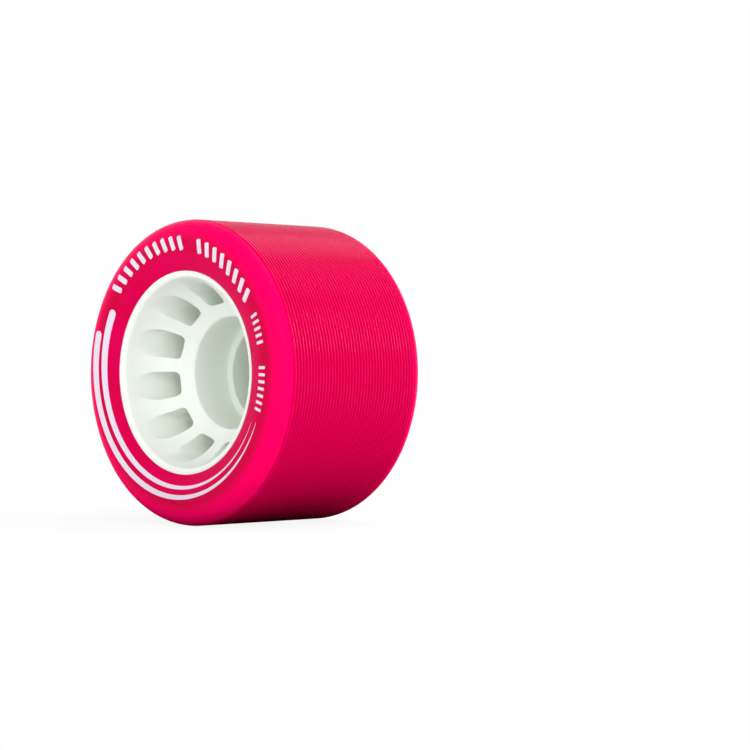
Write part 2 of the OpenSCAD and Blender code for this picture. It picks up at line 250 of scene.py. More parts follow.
class Graph:
    """The nodes of one material, or of the world."""

    def __init__(self, owner):
        self.owner = owner
        owner.use_nodes = True
        self.tree = owner.node_tree
        self.tree.nodes.clear()

    def add(self, kind, settings=None, inputs=None, output=0):
        """One node: its settings first, then the values or links of its sockets. Gives one output."""
        node = self.tree.nodes.new(kind)
        for name, value in (settings or {}).items():
            setattr(node, name, value)
        for name, value in (inputs or {}).items():
            if isinstance(value, Socket):
                self.tree.links.new(value.output, node.inputs[name])
            else:
                node.inputs[name].default_value = value
        return Socket(self, node.outputs[output]) if node.outputs else node

    def math(self, operation, *values):
        return self.add("ShaderNodeMath", {"operation": operation}, dict(enumerate(values)))

    def limit(self, value):
        return self.add("ShaderNodeClamp", None, {"Value": value})

    def step(self, value, low, high):
        """0 at low, 1 at high, smooth between and level beyond; low may be the greater."""
        return self.add("ShaderNodeMapRange", {"interpolation_type": "SMOOTHSTEP"},
                        {"Value": value, "From Min": low, "From Max": high})

    def mix(self, factor, a, b):
        """Colour between a and b."""
        return self.add("ShaderNodeMix", {"data_type": "RGBA"}, {0: factor, 6: a, 7: b}, output=2)

    def parts(self, vector):
        """x, y and z of a vector."""
        split = self.add("ShaderNodeSeparateXYZ", None, {0: vector})
        return [Socket(self, socket) for socket in split.output.node.outputs]

    def noise(self, vector, size, detail=2.0, roughness=0.5):
        """Noise from 0 to 1 whose grain is about the given size in millimetres."""
        return self.add("ShaderNodeTexNoise", None, {
            "Vector": vector, "Scale": 1 / (size * MM), "Detail": detail, "Roughness": roughness})

    def bump(self, height, distance, strength):
        """Normal of a surface raised by height times distance in millimetres."""
        return self.add("ShaderNodeBump", None, {
            "Height": height, "Distance": distance * MM, "Strength": strength})

    def principled(self, **inputs):
        """Principled shader; underscores in the names stand for spaces."""
        named = {name.replace("_", " "): value for name, value in inputs.items()}
        return self.add("ShaderNodeBsdfPrincipled", None, named)

    def surface(self, **inputs):
        """The material, with one Principled shader all over."""
        return self.output(self.principled(**inputs))

    def output(self, shader):
        """The material, with a shader as its surface."""
        self.add("ShaderNodeOutputMaterial", None, {"Surface": shader})
        return self.owner


def finish(name):
    """Graph of a new material, and the point on the piece in the piece's own frame."""
    g = Graph(bpy.data.materials.new(name))
    return g, g.add("ShaderNodeTexCoord", output="Object")


def from_axle(graph, place):
    """Distance of a point from the axle, and its place along the axle, in metres."""
    x, y, z = graph.parts(place)
    return (x * x + z * z) ** 0.5, y


# Distances where a painted tone begins and where it is full: inside the tread for the painted shade on the
# outer face and the painted glow at the shoulders, from the tyre's faces for the painted glow at the
# tread's ends, and under the bowl and from the hub's rear end for the painted shade deep in the hub
OUTER_SHADE_ZONE = (7 * MM, 5.4 * MM)
EDGE_GLOW_ZONE = (4.6 * MM, 2 * MM)
END_GLOW_ZONE = (4 * MM, 2.3 * MM)
POCKET_SHADE_ZONE = (0.2 * MM, 5 * MM)
REAR_SHADE_ZONE = (0.6 * MM, 5 * MM)

# The same in shares of a groove's depth, for the painted shade in the grooves, and in levels of a noise
GROOVE_SHADE_ZONE = (0.01, 0.25)
CLOUDED = (0.3, 0.75)
FLOWED = (0.35, 0.75)
SPECKED = (0.76, 0.8)
THIN = (0.45, 0.8)

# Share of each part of the ink's colour that is left where its cover is thin
THIN_INK = (0.97, 0.86, 0.95, 1)


def cast_urethane(tyre):
    """Glossy cast urethane with faint clouding, a fine grain from the mould, painted shade on the outer
    face and a painted glow at the shoulders.
    """
    g, place = finish("cast_urethane")
    inside = TREAD_R - from_axle(g, place)[0]
    cloud = g.noise(place, 9, 3.0, 0.55)
    grain = g.noise(place, 0.35, 2.0, 0.5)
    # Painted shade: the outer part of the face is mixed towards deep pink, along with the clouding.
    outer_shade = g.step(inside, *OUTER_SHADE_ZONE)
    deep = g.limit(g.step(cloud, *CLOUDED) * 0.5 + outer_shade * 0.6)
    tone = g.mix(deep, tyre.pink, tyre.deep_pink)
    return g.surface(
        # Painted glow: towards the shoulders the colour turns to a brighter pink.
        Base_Color=g.mix(g.step(inside, *EDGE_GLOW_ZONE), tone, tyre.glow_pink),
        Roughness=0.2 + cloud * 0.08 + grain * 0.05,
        Specular_IOR_Level=0.025,
        Specular_Tint=(1.0, 0.5, 0.85, 1.0),
        Subsurface_Weight=0.12,
        Subsurface_Radius=(1.0, 0.1, 0.25),
        Subsurface_Scale=0.8 * MM,
        Normal=g.bump(grain, 0.004, 0.4),
    )


def turned_urethane(tyre):
    """Satin urethane of the turned tread, duller and darker with painted shade down in the grooves, and
    with a painted glow at its ends.
    """
    g, place = finish("turned_urethane")
    r, y = from_axle(g, place)
    cloud = g.noise(place, 9, 3.0, 0.55)
    grain = g.noise(place, 0.2, 2.0, 0.5)
    # Painted shade: down in the grooves the colour turns to a darker pink, without gloss.
    depth = g.step(TREAD_R - r, *(part * tyre.groove_depth for part in GROOVE_SHADE_ZONE))
    shared = {
        "Roughness": 0.1 + cloud * 0.05 + grain * 0.05,
        "Specular_Tint": (1.0, 0.6, 0.9, 1.0),
        "Subsurface_Weight": 0.05,
        "Subsurface_Radius": (1.0, 0.1, 0.25),
        "Subsurface_Scale": 0.4 * MM,
        "Normal": g.bump(grain, 0.008, 0.4),
    }
    # Painted glow at the tread's ends next to the shoulders, half as strong down in the grooves.
    end = g.limit(g.step(y - FRONT_Y, *END_GLOW_ZONE) + g.step(REAR_Y - y, *END_GLOW_ZONE))
    tone = g.mix(g.step(cloud, *CLOUDED) * 0.4, tyre.tread_pink, tyre.deep_pink)
    high = g.mix(end, tone, tyre.glow_pink)
    low = g.mix(end * 0.5, tyre.groove_shade_pink, tyre.glow_pink)
    crest = g.principled(Base_Color=high, Specular_IOR_Level=0.045, **shared)
    groove = g.principled(Base_Color=low, Specular_IOR_Level=0.0, **shared)
    return g.output(g.add("ShaderNodeMixShader", None, {0: depth, 1: crest, 2: groove}))


def moulded_plastic(hub):
    """Satin moulded plastic with faint flow marks, a fine grain, a few specks and a greener painted shade
    deep in the pockets and seats.
    """
    g, place = finish("moulded_plastic")
    flow = g.noise(place, 6, 4.0, 0.6)
    grain = g.noise(place, 0.25, 2.0, 0.6)
    specks = g.step(g.noise(place, 0.7, 0.0), *SPECKED)
    tone = g.limit(g.step(flow, *FLOWED) + specks * 0.6)
    bowl = Bowl(hub)
    r, y = from_axle(g, place)
    # Painted shade: below the bowl's surface and away from the rear end, the plastic turns to the greener
    # deep tint.
    under = ((r - bowl.middle_r) ** 2 + (y - bowl.middle_y) ** 2) ** 0.5 - bowl.radius
    depth = g.step(under, *POCKET_SHADE_ZONE) * g.step(HUB_HIGH.y - y, *REAR_SHADE_ZONE)
    return g.surface(
        Base_Color=g.mix(depth, g.mix(tone, hub.white, hub.shade), hub.deep),
        Roughness=0.42 + flow * 0.1 + grain * 0.06,
        Subsurface_Weight=0.4,
        Subsurface_Radius=(0.95, 1.0, 0.95),
        Subsurface_Scale=1.2 * MM,
        Normal=g.bump(grain, 0.01, 0.4),
    )


def printed_ink(marks):
    """Pad-printed ink: slightly uneven cover with a fine pebbled skin."""
    g, place = finish("printed_ink")
    cover = g.noise(place, 0.8, 3.0, 0.6)
    pebble = g.noise(place, 0.16, 1.0)
    thin = tuple(value * left for value, left in zip(marks.ink, THIN_INK))
    return g.surface(
        Base_Color=g.mix(g.step(cover, *THIN) * 0.6, marks.ink, thin),
        Roughness=0.38 + cover * 0.14,
        Specular_IOR_Level=0.4,
        Normal=g.bump(pebble, 0.006, 0.5),
    )


def turned_steel(name, bright, lines, dull):
    """Steel with fine marks round the axle, from grinding or pressing.

    The marks are about lines millimetres wide, and dull is the least roughness.
    """
    g, place = finish(name)
    r, y = from_axle(g, place)
    along = g.add("ShaderNodeTexNoise", {"noise_dimensions": "1D"}, {
        "W": (r + y * 0.7) * (1 / (lines * MM)), "Detail": 3.0, "Roughness": 0.7})
    smear = g.noise(place, 3, 3.0)
    dark = tuple(v * 0.8 for v in bright[:3]) + (1.0,)
    return g.surface(
        Base_Color=g.mix(along * 0.5 + smear * 0.3, bright, dark),
        Metallic=1.0,
        Roughness=dull + along * 0.14 + smear * 0.1,
        Normal=g.bump(along, 0.008, 0.6),
    )


def polished_ball(bearing):
    """Polished chrome steel with faint lapping marks."""
    g, place = finish("polished_steel")
    lapping = g.noise(place, 0.4, 4.0, 0.7)
    return g.surface(
        Base_Color=g.mix(lapping, bearing.polish, bearing.lapping),
        Metallic=1.0,
        Roughness=0.06 + lapping * 0.06,
        Normal=g.bump(lapping, 0.002, 0.3),
    )


def cage_nylon(bearing):
    """Matt nylon with faint fibres."""
    g, place = finish("cage_nylon")
    fibres = g.noise(place, 0.5, 5.0, 0.7)
    pale = tuple(min(1.0, v * 1.25) for v in bearing.nylon)
    return g.surface(
        Base_Color=g.mix(fibres, bearing.nylon, pale),
        Roughness=0.5 + fibres * 0.15,
        Normal=g.bump(fibres, 0.01, 0.4),
    )


# Meshes

# Distance within which points are welded, and angle from which an edge stays sharp
WELD = 1e-7
SHARP = radians(50)

# Faces round the axle, the same number for each rib
SIDES = 288
RING_ANGLES = [2 * pi * k / SIDES for k in range(SIDES)]


def around(r, turn, y):
    """Point at radius r, turned from +X towards +Z, at y along the axle."""
    return Vector((r * cos(turn), y, r * sin(turn)))


def toward(turn):
    """Unit vector at an angle in the front view."""
    return Vector((cos(turn), sin(turn)))


def arc(middle, radius, start, end, steps=12):
    """Points on an arc about middle from angle start to angle end."""
    turns = [start + (end - start) * k / steps for k in range(steps + 1)]
    return [Vector(middle) + radius * toward(a) for a in turns]


def bands(rows, columns, ring=True, closed=False):
    """Faces between rows of points: round the rows if ring, from the last row to the first if closed."""
    faces = []
    for i in range(rows if closed else rows - 1):
        j = (i + 1) % rows
        for k in range(columns if ring else columns - 1):
            m = (k + 1) % columns
            faces.append((i * columns + k, i * columns + m, j * columns + m, j * columns + k))
    return faces


def turned(profile, angles=RING_ANGLES, ring=True, closed=True):
    """A half section of (radius, y) points turned about the axle, all round or from first angle to last."""
    rows, columns = len(profile), len(angles)
    points = [around(r, a, y) for r, y in profile for a in angles]
    faces = bands(rows, columns, ring, closed)
    if not ring:
        faces.append([i * columns for i in range(rows)])
        faces.append([i * columns + columns - 1 for i in range(rows)])
    return points, faces


def rounded(corners, closed=True, steps=5):
    """Line through (x, y, radius) corners, with an arc of that radius at each."""
    line = []
    for i, (x, y, radius) in enumerate(corners):
        here = Vector((x, y))
        if not radius or not closed and i in (0, len(corners) - 1):
            line.append(here)
            continue
        before = (Vector(corners[i - 1][:2]) - here).normalized()
        after = (Vector(corners[(i + 1) % len(corners)][:2]) - here).normalized()
        half = before.angle(after) / 2
        middle = here + (before + after).normalized() * (radius / sin(half))
        start = here + before * (radius / tan(half)) - middle
        end = here + after * (radius / tan(half)) - middle
        sweep = pi - 2 * half
        for k in range(steps + 1):
            t = k / steps
            spoke = start * sin((1 - t) * sweep) + end * sin(t * sweep)
            line.append(middle + spoke / sin(sweep))
    return [tuple(p) for p in line]


def resampled(line, parts):
    """Points that cut a line into equal parts, ends included."""
    line = [Vector(p) for p in line]
    reach = [0.0]
    for a, b in zip(line, line[1:]):
        reach.append(reach[-1] + (b - a).length)
    points, k = [], 0
    for i in range(parts + 1):
        want = reach[-1] * i / parts
        while k < len(line) - 2 and reach[k + 1] < want:
            k += 1
        t = (want - reach[k]) / (reach[k + 1] - reach[k])
        points.append(line[k].lerp(line[k + 1], min(1.0, t)))
    return points


def put(name, data):
    """New object in the scene."""
    obj = bpy.data.objects.new(name, data)
    bpy.context.scene.collection.objects.link(obj)
    return obj


def piece(name, shapes, material, body, slot, *nodes):
    """Object of (points, faces) shapes welded where they meet. It stands for the CAD nodes."""
    work = bmesh.new()
    for points, faces in shapes:
        made = [work.verts.new(p) for p in points]
        for face in faces:
            work.faces.new([made[i] for i in face])
    bmesh.ops.remove_doubles(work, verts=work.verts, dist=WELD)
    bmesh.ops.recalc_face_normals(work, faces=work.faces)
    mesh = bpy.data.meshes.new(name)
    work.to_mesh(mesh)
    work.free()
    mesh.shade_smooth()
    mesh.set_sharp_from_angle(angle=SHARP)
    mesh.materials.append(material)
    obj = put(name, mesh)
    even = obj.modifiers.new("even_normals", "WEIGHTED_NORMAL")
    even.keep_sharp = True
    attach(obj, body)
    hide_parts(*nodes)
    return obj


# Tyre

# Points across one groove, as shares of its width from its middle and of its depth
GROOVE_SHAPE = ((-0.5, 0.0), (-0.34, 0.06), (-0.06, 0.94), (0.06, 0.94), (0.34, 0.06), (0.5, 0.0))


def face_y(r, tyre, hub):
    """Where the tyre's front face lies at radius r."""
    recess = HUB_LOW.y - FRONT_Y
    roll_end = hub.diameter / 2 + tyre.face_roll
    shoulder_start = TREAD_R - tyre.shoulder
    if r < roll_end:
        roll_r = (tyre.face_roll ** 2 + recess ** 2) / (2 * recess)
        return FRONT_Y + roll_r - sqrt(roll_r ** 2 - (roll_end - r) ** 2)
    if r > shoulder_start:
        return FRONT_Y + tyre.shoulder - sqrt(tyre.shoulder ** 2 - (r - shoulder_start) ** 2)
    return FRONT_Y


def tyre_front(tyre, hub):
    """Front half of the tyre's outside: from the hub over the face and the shoulder, as (radius, y)."""
    roll_steps, turn_steps = 12, 20
    hub_r, shoulder = hub.diameter / 2, tyre.shoulder
    lip = 0.12 * MM
    line = [(hub_r, face_y(hub_r, tyre, hub) + lip)]
    for k in range(roll_steps + 1):
        r = hub_r + lip + (tyre.face_roll - lip) * k / roll_steps
        line.append((r, face_y(r, tyre, hub)))
    middle = (TREAD_R - shoulder, FRONT_Y + shoulder)
    end = -asin(1 - min((groove_start(tyre) - FRONT_Y) / shoulder, 1.0))
    turn = arc(middle, shoulder, -pi / 2, end, turn_steps)
    return line + [tuple(p) for p in turn[:-1]]


def groove_start(tyre):
    """Where the first groove's front edge lies along the axle."""
    return (FRONT_Y + REAR_Y - (tyre.groove_count - 1) * tyre.groove_pitch - tyre.groove_width) / 2


def tread_radius(y, tyre):
    """Radius of the tread at y before its grooves are turned, with the shoulders at its ends."""
    into = max(tyre.shoulder - min(y - FRONT_Y, REAR_Y - y), 0.0)
    return TREAD_R - tyre.shoulder + sqrt(tyre.shoulder ** 2 - into ** 2)


def groove_line(tyre):
    """The grooved tread from front to rear, as (radius, y)."""
    middle = (FRONT_Y + REAR_Y) / 2
    line = []
    for i in range(tyre.groove_count):
        y = middle + (i - (tyre.groove_count - 1) / 2) * tyre.groove_pitch
        for across, down in GROOVE_SHAPE:
            at = y + tyre.groove_width * across
            line.append((min(TREAD_R - tyre.groove_depth * down, tread_radius(at, tyre)), at))
    return line


def key_line(hub, front, rear):
    """The bond between hub and tyre from front to rear, with the key rings, as (radius, y)."""
    hub_r = hub.diameter / 2
    line = [(hub_r, front)]
    for i in (-1, 0, 1):
        y = i * hub.key_pitch
        low, high = y - hub.key_width / 2, y + hub.key_width / 2
        line += [(hub_r, low), (hub_r + hub.key_height, low), (hub_r + hub.key_height, high), (hub_r, high)]
    return line + [(hub_r, rear)]


class WHEEL_OT_tyre(bpy.types.Operator):
    """Make the cast tyre with its turned grooves"""
    bl_idname = "wheel.tyre"
    bl_label = "Tyre"

    def execute(self, context):
        tyre, hub = context.scene.wheel_tyre, context.scene.wheel_hub
        front, grooves = tyre_front(tyre, hub), groove_line(tyre)
        rear = [(r, FRONT_Y + REAR_Y - y) for r, y in reversed(front)]
        bond = key_line(hub, front[0][1], rear[-1][1])
        profile = front + grooves + rear + bond[-2:0:-1]
        cast = piece("cast_tyre", [turned(profile)], cast_urethane(tyre), "wheel", "tyre", "tyre")
        cast.data.materials.append(turned_urethane(tyre))
        start, end = grooves[0][1], grooves[-1][1]
        for face in cast.data.polygons:
            outside = face.center.xz.length > TREAD_R - tyre.shoulder
            if outside and start < face.center.y < end:
                face.material_index = 1
        return {"FINISHED"}


# Hub

# Angles on the bowl's arc that the pockets lie between, inner one first
BOWL_SPAN = (radians(60), radians(5))

# Bare width of the rear surface next to the boss and next to the rim
BACK_INNER = 0.25 * MM
BACK_OUTER = 0.5 * MM

# Roundings on the rim, the rear boss, both seats and the ring between the seats
RIM_EDGE = 0.1 * MM
BOSS_FOOT = 0.2 * MM
BOSS_EDGE = 0.25 * MM
REAR_MOUTH = 0.2 * MM
REAR_CORNER = 0.1 * MM
STOP_EDGE = 0.3 * MM
FRONT_CORNER = 0.15 * MM
FRONT_MOUTH = 0.5 * MM

# Faces along one side of a pocket, and its rings of points: shares of the way from the border to the
# edge, number on the edge, shares of the way down, number at the foot, shares of the floor
POCKET_SIDES = 24
BORDER_STEPS = (0.0, 0.2, 0.4, 0.58, 0.74, 0.87, 0.95)
EDGE_STEPS = 6
WALL_STEPS = (0.1, 0.35, 0.7, 1.0)
FILLET_STEPS = 4
FLOOR_STEPS = (0.66, 0.33)

# Radius at a pocket's foot, widest rounding of its edge, and how fast its edge fades into the bowl
POCKET_FILLET = 0.5 * MM
WIDEST_EDGE = 0.5 * MM
FADE_POWER = 6


class Bowl:
    """Front surface that pockets open into: u is the angle on its arc, inward the way in along Y."""
    inward = 1

    def __init__(self, hub):
        self.radius = hub.bowl
        self.middle_r = hub.diameter / 2 - hub.rim_width - hub.bowl
        self.middle_y = HUB_LOW.y + hub.rim_fall
        self.low, self.high = BOWL_SPAN
        self.floor = FRONT_Y + hub.pocket_depth

    def at(self, u):
        return self.middle_r + self.radius * cos(u), self.middle_y + self.radius * sin(u)

    def u(self, r):
        return acos((r - self.middle_r) / self.radius)


class Back:
    """Flat rear surface that pockets open into: u is the radius, inward the way in along Y."""
    inward = -1

    def __init__(self, hub):
        self.y = REAR_Y + FRONT_Y - HUB_LOW.y
        self.low = SEAT_R + hub.rear_boss_wall + BACK_INNER
        self.high = hub.diameter / 2 - BACK_OUTER
        self.floor = FRONT_Y + hub.pocket_depth + hub.web

    def at(self, u):
        return u, self.y

    def u(self, r):
        return r


def pocket_outline(hub):
    """Plan of one pocket about +X, clockwise: inner end, upper side, outer end, lower side."""
    half = pi / hub.rib_count - hub.rib_angle / 2
    inner_r, outer_r = SEAT_R + hub.boss_wall, hub.diameter / 2 - hub.shell_wall
    c, e = hub.inner_corner, hub.outer_corner
    in_x = inner_r + c
    in_middle = Vector((in_x, (in_x * sin(half) - c) / cos(half)))
    out_angle = half - asin(e / (outer_r - e))
    out_middle = (outer_r - e) * toward(out_angle)

    side = pi / 2 + half
    in_split, out_split = (pi + side) / 2, (side + out_angle) / 2
    inner = [Vector((inner_r, 0))] + arc(in_middle, c, pi, in_split)
    upper = arc(in_middle, c, in_split, side) + arc(out_middle, e, side, out_split)
    outer = arc(out_middle, e, out_split, out_angle) + arc((0, 0), outer_r, out_angle, 0)[1:]
    half_end = SIDES // hub.rib_count // 2
    inner, outer = resampled(inner, half_end), resampled(outer, half_end)
    upper = resampled(upper, POCKET_SIDES)

    def mirrored(line):
        return [Vector((p.x, -p.y)) for p in reversed(line)]

    parts = (mirrored(inner), inner, upper, outer, mirrored(outer), mirrored(upper))
    return [p for part in parts for p in part[:-1]]


def sector_border(surface, hub):
    """(u, angle) points round one pocket's share of the surface, in step with its outline."""
    low, high = surface.low, surface.high
    half, total = pi / hub.rib_count, SIDES // hub.rib_count
    ends = [half * (2 * k / total - 1) for k in range(total)]
    rise = [low + (high - low) * k / POCKET_SIDES for k in range(POCKET_SIDES)]
    fall = [high + (low - high) * k / POCKET_SIDES for k in range(POCKET_SIDES)]
    return ([(low, a) for a in ends] + [(u, half) for u in rise]
            + [(high, -a) for a in ends] + [(u, -half) for u in fall])


def on(surface, u, turn):
    """Point of a surface at u and at an angle round the axle."""
    r, y = surface.at(u)
    return around(r, turn, y)


def pocket_edge(surface, outline, middle, hub):
    """The sharp edge of a pocket, where its rounding starts, as (u, angle), and where it meets the wall."""
    near = 1e-5
    total = len(outline)
    down = Vector((0, surface.inward, 0))
    flat = [(surface.u(p.length), atan2(p.y, p.x)) for p in outline]
    edge = [on(surface, *p) for p in flat]
    starts, walls = [], []
    for i, (u, a) in enumerate(flat):
        along = (edge[(i + 1) % total] - edge[i - 1]).normalized()
        by_u = (on(surface, u + near, a) - on(surface, u - near, a)) / (2 * near)
        by_a = (on(surface, u, a + near) - on(surface, u, a - near)) / (2 * near)
        out = by_u.cross(by_a).normalized().cross(along).normalized()
        plan = outline[i] - middle
        if out.x * plan.x + out.z * plan.y < 0:
            out = -out
        spread = out.angle(down - down.dot(along) * along)
        fade = hub.pocket_fade * (spread / pi) ** FADE_POWER
        cut = min(hub.pocket_edge / tan(spread / 2), WIDEST_EDGE) + fade
        starts.append((u + out.dot(by_u) / by_u.length_squared * cut,
                       a + out.dot(by_a) / by_a.length_squared * cut))
        walls.append(edge[i] + down * cut)
    return edge, starts, walls


def pocket_floor(surface, outline, middle, walls):
    """Rings of points down a pocket's walls and over its floor, and the floor's middle."""
    total = len(outline)
    steps = [outline[(i + 1) % total] - outline[i - 1] for i in range(total)]
    insides = [Vector((step.y, -step.x)).normalized() for step in steps]
    foot = surface.floor - surface.inward * POCKET_FILLET
    rings = [[Vector((w.x, w.y + (foot - w.y) * t, w.z)) for w in walls] for t in WALL_STEPS]
    for k in range(1, FILLET_STEPS + 1):
        turn = pi / 2 * k / FILLET_STEPS
        inset = POCKET_FILLET * (1 - cos(turn))
        y = foot + surface.inward * POCKET_FILLET * sin(turn)
        rings.append([Vector((p.x + n.x * inset, y, p.y + n.y * inset)) for p, n in zip(outline, insides)])
    centre = Vector((middle.x, surface.floor, middle.y))
    for t in FLOOR_STEPS:
        rings.append([centre.lerp(p, t) for p in rings[-1]])
    return rings, centre


def pocket_rings(surface, hub):
    """Rings of points from a sector's border over the edge to the floor, and the floor's middle."""
    outline = pocket_outline(hub)
    border = sector_border(surface, hub)
    total = len(outline)
    middle = Vector((sum(p.x for p in outline) / total, sum(p.y for p in outline) / total))
    edge, starts, walls = pocket_edge(surface, outline, middle, hub)
    rings = []
    for t in BORDER_STEPS:
        rings.append([on(surface, u + (v - u) * t, a + (c - a) * t)
                      for (u, a), (v, c) in zip(border, starts)])
    for k in range(EDGE_STEPS + 1):
        t = k / EDGE_STEPS
        rings.append([on(surface, *s) * (1 - t) ** 2 + e * (2 * t * (1 - t)) + w * t ** 2
                      for s, e, w in zip(starts, edge, walls)])
    lower, centre = pocket_floor(surface, outline, middle, walls)
    return rings + lower, centre


def pocket_shapes(surface, hub):
    """The surface between low and high with all its pockets, as (points, faces) for each pocket."""
    rings, middle = pocket_rings(surface, hub)
    total = len(rings[0])
    faces = bands(len(rings), total)
    last = (len(rings) - 1) * total
    faces += [(last + k, last + (k + 1) % total, len(rings) * total) for k in range(total)]
    flat = [p for ring in rings for p in ring] + [middle]
    shapes = []
    for i in range(hub.rib_count):
        turn = Matrix.Rotation(-(pi + hub.pocket_turn + i * 2 * pi / hub.rib_count), 3, "Y")
        shapes.append(([turn @ p for p in flat], faces))
    return shapes


class WHEEL_OT_hub(bpy.types.Operator):
    """Make the moulded hub with its bowl, pockets and seats"""
    bl_idname = "wheel.hub"
    bl_label = "Hub"

    def execute(self, context):
        hub = context.scene.wheel_hub
        bowl, back = Bowl(hub), Back(hub)
        hub_r = hub.diameter / 2
        rim_in = hub_r - hub.rim_width
        seat_end = FRONT_Y + hub.boss_depth + hub.seat_length
        middle_r = SEAT_R - hub.stop_width
        mouth_y = bowl.at(bowl.u(SEAT_R))[1]
        boss_r = SEAT_R + hub.rear_boss_wall
        bond = [(r, y, 0) for r, y in key_line(hub, HUB_LOW.y, back.y)[1:-1]]
        rim = rounded(
            [(*bowl.at(bowl.high), 0), (rim_in, HUB_LOW.y + hub.rim_fall, hub.rim_round),
             (hub_r, HUB_LOW.y, RIM_EDGE)] + bond
            + [(hub_r, back.y, RIM_EDGE), (*back.at(back.high), 0)], closed=False)
        seats = rounded(
            [(*back.at(back.low), 0), (boss_r, back.y, BOSS_FOOT), (boss_r, HUB_HIGH.y, BOSS_EDGE),
             (SEAT_R, HUB_HIGH.y, REAR_MOUTH), (SEAT_R, RING_LOW.y, REAR_CORNER),
             (middle_r, RING_LOW.y, STOP_EDGE), (middle_r, seat_end, STOP_EDGE),
             (SEAT_R, seat_end, FRONT_CORNER), (SEAT_R, mouth_y, FRONT_MOUTH),
             (*bowl.at(bowl.low), 0)], closed=False)
        turn = pi + hub.pocket_turn
        angles = [turn + a for a in RING_ANGLES]
        shapes = [turned(rim, angles, closed=False), turned(seats, angles, closed=False)]
        shapes += pocket_shapes(bowl, hub) + pocket_shapes(back, hub)
        piece("moulded_hub", shapes, moulded_plastic(hub), "wheel", "hub", "hub")
        return {"FINISHED"}


# Print

# Stripes: middle of the arc in the front view, distance inside the tread and width, in millimetres,
# angles of the round end and of the point, and how the width runs out
STRIPES = {
    "stripe_outer": ((-0.66, 0.93), 4.64, 1.76, 164.8, 336, 0.72),
    "stripe_inner": ((-0.1, 0.91), 6.53, 1.72, 152.2, 334, 0.87),
}

# Rows of bars: middle of the arc as above, and for each row the first bar's angle and the number of bars
BAR_MIDDLE = (-0.6, 0.74)
MARK_MIDDLE = (-0.55, 0.65)
BAR_ROWS = {"bar_row_left": [(139, 10)], "bar_row_right": [(74.3, 8)]}
MARK_ROWS = {"small_marks": [(24.3, 5), (0.7, 7)]}


def ink_strip(rows, scene, columns=6):
    """Thin strip of ink on the tyre's face through (middle, across, half width) rows of the front view."""
    tyre, hub, marks = scene.wheel_tyre, scene.wheel_hub, scene.wheel_print
    sink = 0.02 * MM
    points = []
    for middle, across, half in rows:
        line = [middle + across * (half * (2 * k / columns - 1)) for k in range(columns + 1)]
        face = [Vector((p.x, face_y(p.length, tyre, hub), p.y)) for p in line]
        points += [p - Vector((0, marks.thickness, 0)) for p in face]
        points += [p + Vector((0, sink, 0)) for p in reversed(face)]
    total = 2 * (columns + 1)
    faces = bands(len(rows), total)
    for first in (0, (len(rows) - 1) * total):
        last = first + total - 1
        faces += [(first + k, first + k + 1, last - k - 1, last - k) for k in range(columns)]
    return points, faces


def stripe_rows(middle, inset, width, start, end, taper):
    """Rows of a stripe on an arc, from a round end at angle start to a point at angle end."""
    steps, cap = 120, 8
    blunt, point = 0.02, 0.004 * MM
    middle = Vector(middle) * MM
    radius, width = TREAD_R - inset * MM, width * MM
    start, end = radians(start), radians(end)
    rows = []
    for k in range(cap):
        turn = pi / 2 * k / cap
        a = start - width / 2 * cos(turn) / radius
        rows.append((a, width / 2 * max(sin(turn), blunt)))
    for k in range(steps):
        t = k / steps
        rows.append((start + (end - start) * t, width / 2 * (1 - t) ** taper))
    rows.append((end, point))
    return [(middle + toward(a) * radius, toward(a), half) for a, half in rows]


def bar_rows(middle, turn, inset, long, wide, lean, corner):
    """Rows of one bar with its corners cut, lying across the ring at angle turn about middle."""
    steps, straight = 5, 10
    along = toward(turn + lean)
    across = Vector((-along.y, along.x))
    centre = Vector(middle) * MM + toward(turn) * (TREAD_R - inset - long / 2)
    cuts = [corner * k / steps for k in range(steps + 1)]
    ends = [(long / 2 - cut, wide / 2 - corner + cut) for cut in cuts]
    rows = [(-reach, half) for reach, half in ends]
    first = long / 2 - corner
    rows += [(first * (2 * k / straight - 1), wide / 2) for k in range(1, straight)]
    rows += reversed(ends)
    return [(centre + along * reach, across, half) for reach, half in rows]


class WHEEL_OT_print(bpy.types.Operator):
    """Print the stripes, the rows of bars and the small marks on the front face"""
    bl_idname = "wheel.print"
    bl_label = "Print"

    def execute(self, context):
        scene = context.scene
        marks = scene.wheel_print
        ink = printed_ink(marks)
        for node, stripe in STRIPES.items():
            piece("printed_" + node, [ink_strip(stripe_rows(*stripe), scene)], ink, "wheel", "ink", node)
        bar = (marks.bar_inset, marks.bar_length, marks.bar_width, marks.bar_lean, marks.corner)
        mark = (marks.mark_inset, marks.mark_length, marks.mark_width, 0, marks.corner / 2)
        kinds = ((BAR_ROWS, BAR_MIDDLE, marks.bar_step, bar),
                 (MARK_ROWS, MARK_MIDDLE, marks.mark_step, mark))
        for groups, middle, step, sizes in kinds:
            for node, rows in groups.items():
                turns = [radians(start) - i * step for start, total in rows for i in range(total)]
                shapes = [ink_strip(bar_rows(middle, turn, *sizes), scene) for turn in turns]
                piece("printed_" + node, shapes, ink, "wheel", "ink", node)
        return {"FINISHED"}


# Bearing

# Roundings of the rings' edges and of the shields and snap rings
RING_SOFT = 0.06 * MM
SHEET_SOFT = 0.08 * MM

# A shield's bead: flat widths inside and outside it, and width of each bend
FLAT_INNER = 0.35 * MM
FLAT_OUTER = 1.1 * MM
BEND = 0.25 * MM


def race_arc(bearing, land_r, steps=20):
    """Race between the two sides of a land at radius land_r, as (radius, offset along the axle, 0)."""
    middle, radius = bearing.pitch / 2, bearing.ball / 2 + bearing.race_gap
    half = acos(abs(land_r - middle) / radius)
    side = 1 if land_r > middle else -1
    return [(middle + side * x, y, 0) for x, y in arc((0, 0), radius, half, -half, steps)]


